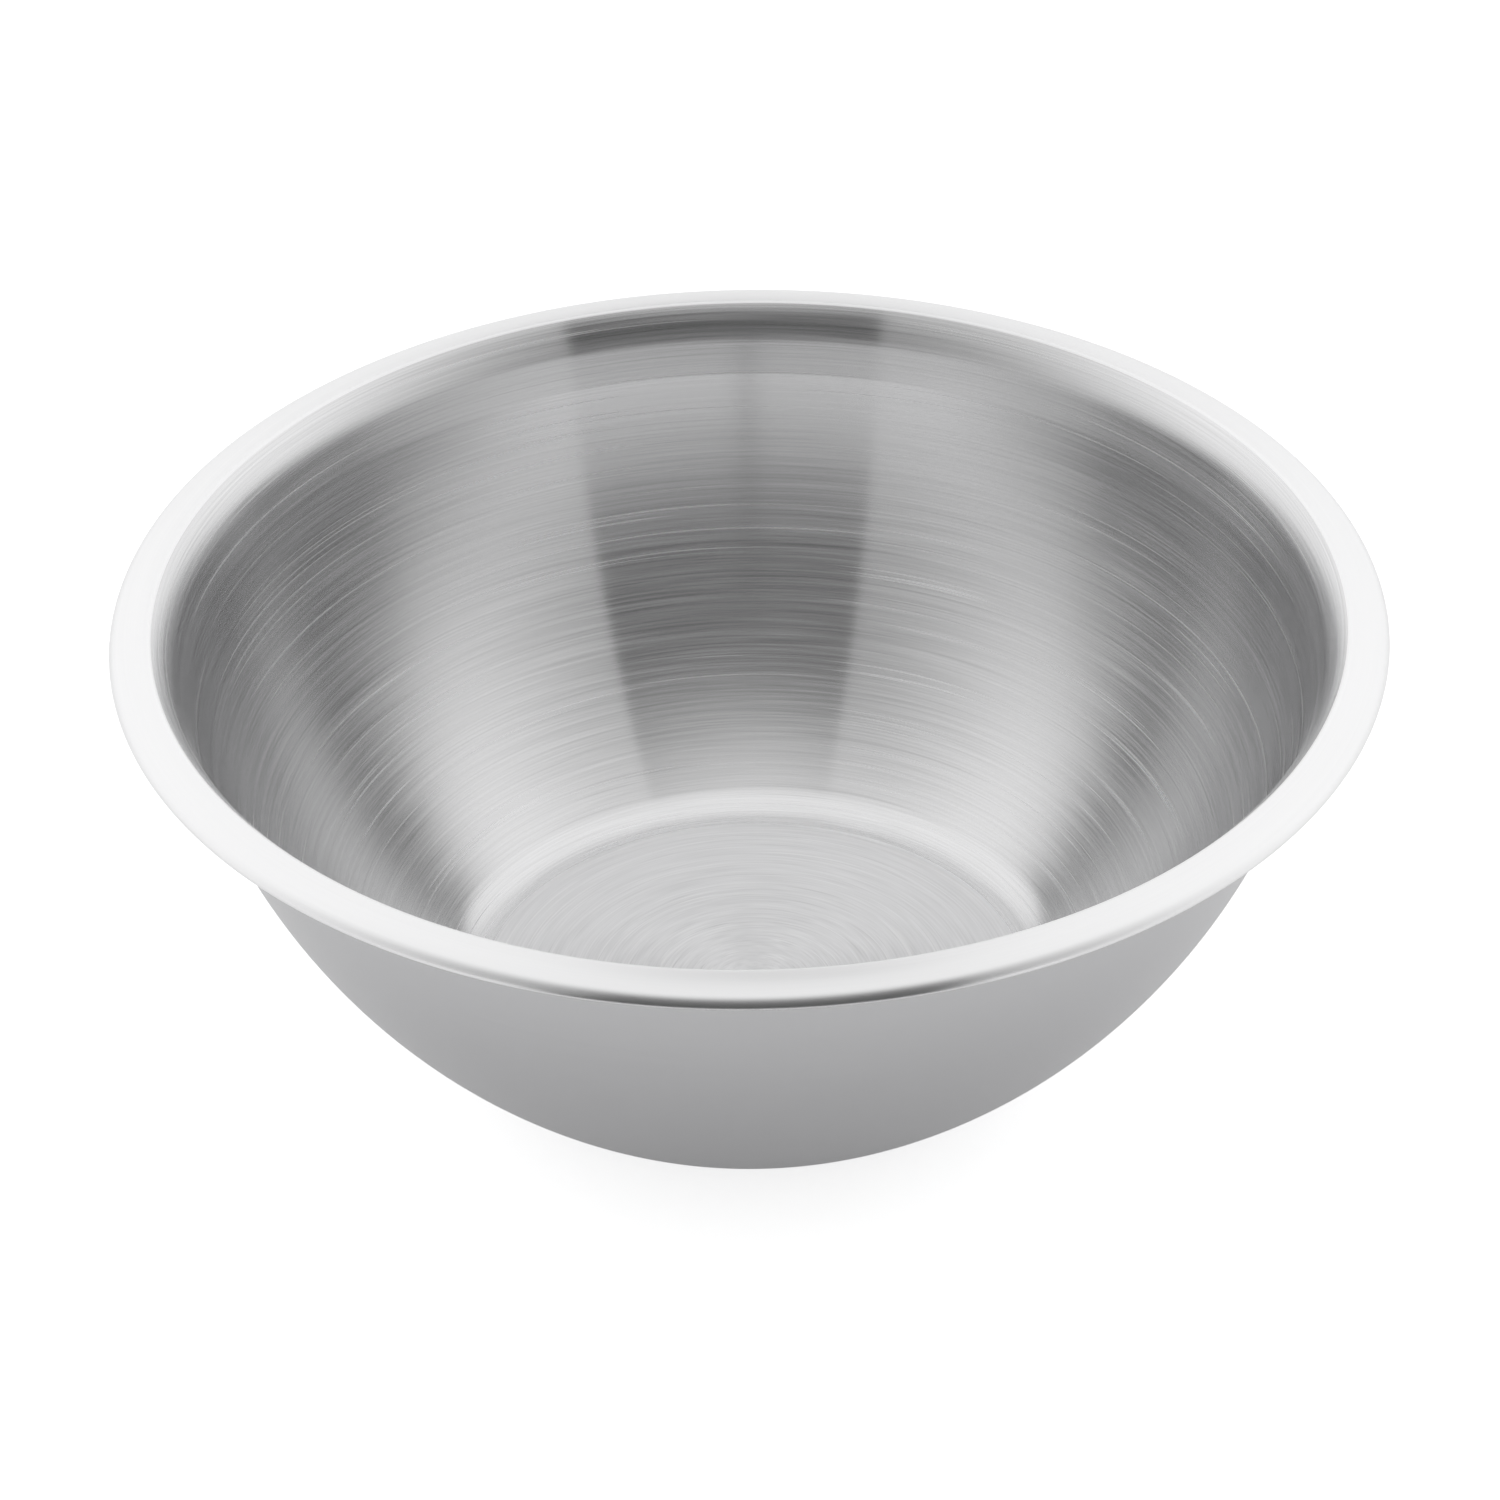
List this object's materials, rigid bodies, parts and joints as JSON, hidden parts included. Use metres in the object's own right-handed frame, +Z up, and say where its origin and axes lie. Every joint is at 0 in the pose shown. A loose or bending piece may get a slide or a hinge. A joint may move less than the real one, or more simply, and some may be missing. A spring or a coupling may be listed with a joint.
{
  "type": "mixing bowl",
  "caption": "Round stainless steel mixing bowl with a flat bottom, a curved flaring wall and a wide flat-topped rolled rim.",
  "frame": {"origin": "centre of the flat underside that the bowl stands on", "axes": "+Z up along the bowl's axis, towards the open rim; the bowl is round, so +X and +Y are any two radii at a right angle"},
  "size_m": [0.28, 0.28, 0.102],
  "materials": {
    "stainless_steel": "brushed in rings inside and on the rim, smooth satin outside"
  },
  "bodies": {
    "root": {"bowl_shell": "stainless_steel"}
  },
  "joints": []
}
